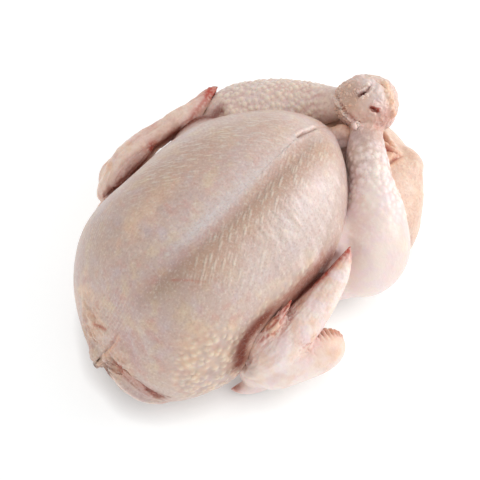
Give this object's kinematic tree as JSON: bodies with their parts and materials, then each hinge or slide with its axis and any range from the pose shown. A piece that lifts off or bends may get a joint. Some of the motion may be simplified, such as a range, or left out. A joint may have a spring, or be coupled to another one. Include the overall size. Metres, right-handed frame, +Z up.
{
  "type": "whole raw turkey",
  "caption": "Whole raw dressed turkey lying on its back, breast up, legs crossed at the hocks, wings folded at its sides.",
  "frame": {"origin": "on the surface the bird lies on, under the middle of its bounding box", "axes": "+X from the neck end towards the tail, +Y towards the side whose wing is folded close to the breast, +Z up, out of the breast"},
  "size_m": [0.362, 0.2801, 0.1604],
  "materials": {
    "raw_skin": "moist raw skin, pale pink and cream, satin"
  },
  "bodies": {
    "root": {"whole_turkey": "raw_skin"}
  },
  "joints": []
}
